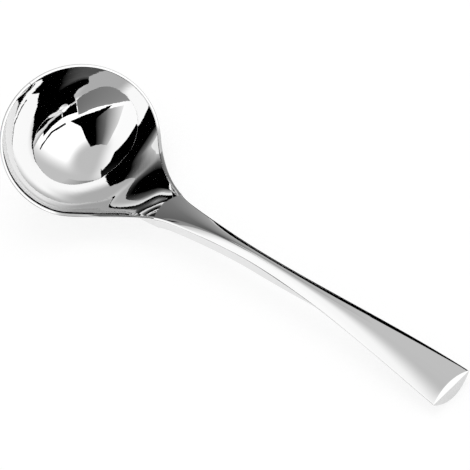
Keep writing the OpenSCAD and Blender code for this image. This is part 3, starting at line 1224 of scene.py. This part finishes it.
@dataclass
class Studio:
    """The table, the lamp, the light tent, the cards and the camera."""

    middle_mm: tuple[float, float, float] = (68.3, 1.5, 15.48)
    bowl_mm: tuple[float, float, float] = (0.0, 0.0, 20.0)
    # Camera
    camera_azimuth: float = 53.29
    camera_elevation: float = 45.69
    camera_roll: float = -13.37
    camera_distance_mm: float = 864.2
    lens_mm: float = 199.9
    sensor_mm: float = 36.0
    nearest_mm: float = 10.0
    furthest_mm: float = 10_000.0
    # Table
    floor_mm: float = 6000.0
    floor_drop_mm: float = 0.02
    card_lift_mm: float = 0.5
    table_colour: str = "#fbfbfb"
    table_white_share: float = 0.65
    table_glow: float = 1.12
    table_far_glow: float = 0.3
    table_near_mm: float = 50.0
    table_far_mm: float = 500.0
    # Lamp and light tent
    lamp_mm: float = 900.0
    lamp_watts: float = 1.6
    lamp_place_mm: tuple[float, float, float] = (-200.0, 300.0, 1100.0)
    room_glow: float = 0.75
    front_wall: Sweep = Sweep(10.0, -0.2, 0.5, 1.2, 1.45)
    side_wall: Sweep = Sweep(120.0, 0.05, 0.55, 0.0, 1.0)
    side_glow: float = 0.64
    ceiling: Sweep = Sweep(-150.0, 0.03, 0.38, 0.62, 1.15)
    ceiling_from_share: float = 0.75
    ceiling_to_share: float = 0.94

    def floor(self) -> bpy.types.Object:
        """Lays the pale table that the ladle rests on.

        Returns:
            The table, which takes no part in the object.
        """
        bpy.ops.object.select_all(action="DESELECT")
        bpy.ops.mesh.primitive_plane_add(size=self.floor_mm * MM,
                                         location=(0, 0, -self.floor_drop_mm * MM))
        floor = bpy.context.object
        floor.name = "table"
        # Matt white laminate shows no gloss, so it keeps only the ladle's soft shadow, which a white
        # glow for camera and reflected rays makes fainter.
        material, tree = new_material("table_matt_white_laminate")
        paint = add_node(tree, "ShaderNodeBsdfDiffuse", None,
                         {"Color": linear_rgba(self.table_colour)})
        path = add_node(tree, "ShaderNodeLightPath")
        seen = add_node(tree, "ShaderNodeMath", {"operation": "MAXIMUM"},
                        {0: path.outputs["Is Camera Ray"], 1: path.outputs["Is Glossy Ray"]})
        seen = add_node(tree, "ShaderNodeMath", {"operation": "MAXIMUM"},
                        {0: seen.outputs["Value"], 1: path.outputs["Is Transmission Ray"]})
        share = add_node(tree, "ShaderNodeMath", {"operation": "MULTIPLY"},
                         {0: seen.outputs["Value"], 1: self.table_white_share})
        place = add_node(tree, "ShaderNodeTexCoord").outputs["Object"]
        away = add_node(tree, "ShaderNodeVectorMath", {"operation": "LENGTH"}, {0: place})
        # The glow that the metal mirrors is painted darker with distance from the ladle: a painted
        # falloff of light, seen only in reflections.
        fading = add_node(tree, "ShaderNodeMapRange", None,
                          {"Value": away.outputs["Value"], "From Min": self.table_near_mm * MM,
                           "From Max": self.table_far_mm * MM, "To Min": self.table_glow,
                           "To Max": self.table_far_glow})
        glow = add_node(tree, "ShaderNodeMix", {"data_type": "FLOAT"},
                        {0: path.outputs["Is Glossy Ray"], 2: self.table_glow,
                         3: fading.outputs["Result"]})
        white = add_node(tree, "ShaderNodeEmission", None, {"Strength": glow.outputs[0]})
        mix = add_node(tree, "ShaderNodeMixShader", None,
                       {"Fac": share.outputs["Value"], 1: paint.outputs["BSDF"],
                        2: white.outputs["Emission"]})
        add_node(tree, "ShaderNodeOutputMaterial", None, {"Surface": mix.outputs["Shader"]})
        dress(floor, material)
        return floor

    def tent(self, tree: bpy.types.NodeTree) -> bpy.types.NodeSocket:
        """The light tent that polished metal sees: white, with one grey side and a grey ceiling.

        Args:
            tree: The world's tree.

        Returns:
            The tent's glow.
        """
        way = add_node(tree, "ShaderNodeTexCoord").outputs["Generated"]
        height = add_node(tree, "ShaderNodeSeparateXYZ", None, {0: way}).outputs["Z"]
        walls = add_node(tree, "ShaderNodeMix", {"data_type": "FLOAT"},
                         {0: self.side_wall.build(tree, way), 2: self.front_wall.build(tree, way),
                          3: self.side_glow})
        overhead = add_node(tree, "ShaderNodeMapRange", {"interpolation_type": "SMOOTHSTEP"},
                            {"Value": height, "From Min": self.ceiling_from_share,
                             "From Max": self.ceiling_to_share})
        return add_node(tree, "ShaderNodeMix", {"data_type": "FLOAT"},
                        {0: overhead.outputs["Result"], 2: walls.outputs[0],
                         3: self.ceiling.build(tree, way)}).outputs[0]

    def world(self) -> None:
        """Sets the pale room light, the camera's white and the tent that the metal sees."""
        world = bpy.data.worlds.new("studio_room")
        bpy.context.scene.world = world
        world.use_nodes = True
        tree = world.node_tree
        tree.nodes.clear()
        path = add_node(tree, "ShaderNodeLightPath")
        white_rays = add_node(tree, "ShaderNodeMath", {"operation": "MAXIMUM"},
                              {0: path.outputs["Is Camera Ray"],
                               1: path.outputs["Is Transmission Ray"]})
        room, white, tent = (
            add_node(tree, "ShaderNodeBackground", None,
                     {"Color": linear_rgba("#ffffff"), "Strength": strength})
            for strength in (self.room_glow, 1.0, self.tent(tree)))
        mix = add_node(tree, "ShaderNodeMixShader", None,
                       {"Fac": white_rays.outputs["Value"], 1: room.outputs["Background"],
                        2: white.outputs["Background"]})
        mix = add_node(tree, "ShaderNodeMixShader", None,
                       {"Fac": path.outputs["Is Glossy Ray"], 1: mix.outputs["Shader"],
                        2: tent.outputs["Background"]})
        add_node(tree, "ShaderNodeOutputWorld", None, {"Surface": mix.outputs["Shader"]})

    def lamp(self) -> None:
        """Hangs the one soft lamp that gives the ladle its shadow."""
        data = bpy.data.lights.new("top_soft_box", "AREA")
        data.shape = "DISK"
        data.size = self.lamp_mm * MM
        data.energy = self.lamp_watts
        lamp = bpy.data.objects.new("top_soft_box", data)
        bpy.context.scene.collection.objects.link(lamp)
        place = Vector(self.lamp_place_mm) * MM
        aim = Vector(self.middle_mm) * MM
        lamp.matrix_world = (Matrix.Translation(place)
                             @ (aim - place).to_track_quat("-Z", "Y").to_matrix().to_4x4())
        lamp.visible_glossy = False

    def camera(self) -> None:
        """Stands the camera at the photograph's viewing angle."""
        data = bpy.data.cameras.new("camera")
        data.sensor_width = self.sensor_mm
        data.sensor_fit = "HORIZONTAL"
        data.lens = self.lens_mm
        data.clip_start = self.nearest_mm * MM
        data.clip_end = self.furthest_mm * MM
        camera = bpy.data.objects.new("camera", data)
        bpy.context.scene.collection.objects.link(camera)
        azimuth, elevation = math.radians(self.camera_azimuth), math.radians(self.camera_elevation)
        back = Vector((math.sin(azimuth) * math.cos(elevation),
                       -math.cos(azimuth) * math.cos(elevation), math.sin(elevation)))
        turn = (-back).to_track_quat("-Z", "Y").to_matrix().to_4x4()
        roll = Matrix.Rotation(math.radians(self.camera_roll), 4, "Z")
        place = Vector(self.middle_mm) * MM + back * self.camera_distance_mm * MM
        camera.matrix_world = Matrix.Translation(place) @ turn @ roll
        bpy.context.scene.camera = camera

    def build(self) -> None:
        """Sets the studio up."""
        bpy.context.scene.view_settings.view_transform = "Standard"
        self.floor()
        self.world()
        for card in CARDS:
            card.build(self.bowl_mm, self.card_lift_mm)
        self.lamp()
        self.camera()


def main() -> None:
    """Builds the studio, the ladle's pieces and their finishes."""
    logging.basicConfig(level=logging.INFO, format="%(name)s: %(message)s")
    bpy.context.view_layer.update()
    Studio().build()
    profile = Profile()
    soft = EdgeSoftening()
    round_steel = PolishedSteel("stainless_steel_drawn_and_mirror_polished",
                                Buffing.ROUND_THE_BOWL, wave_height_mm=0.07,
                                streak_height_mm=0.005).build()
    long_steel = PolishedSteel("stainless_steel_pressed_and_mirror_polished",
                               Buffing.ALONG_THE_HANDLE).build()
    bowl = Bowl(profile, soft).build()
    handle = Handle(profile, soft)
    pieces = [bowl, handle.shell(Half.UPPER), handle.shell(Half.LOWER), handle.end_plate()]
    for piece in pieces:
        dress(piece, round_steel if piece is bowl else long_steel)
        log.info("%s: %d faces", piece.name, len(piece.data.polygons))
    dress(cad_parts["tang"], ForgedSteel("stainless_steel_forged_and_pickled").build())
    dress(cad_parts["handle_filler"], HandleCement("handle_cement_poured_and_set").build())


if __name__ == "__main__":
    main()
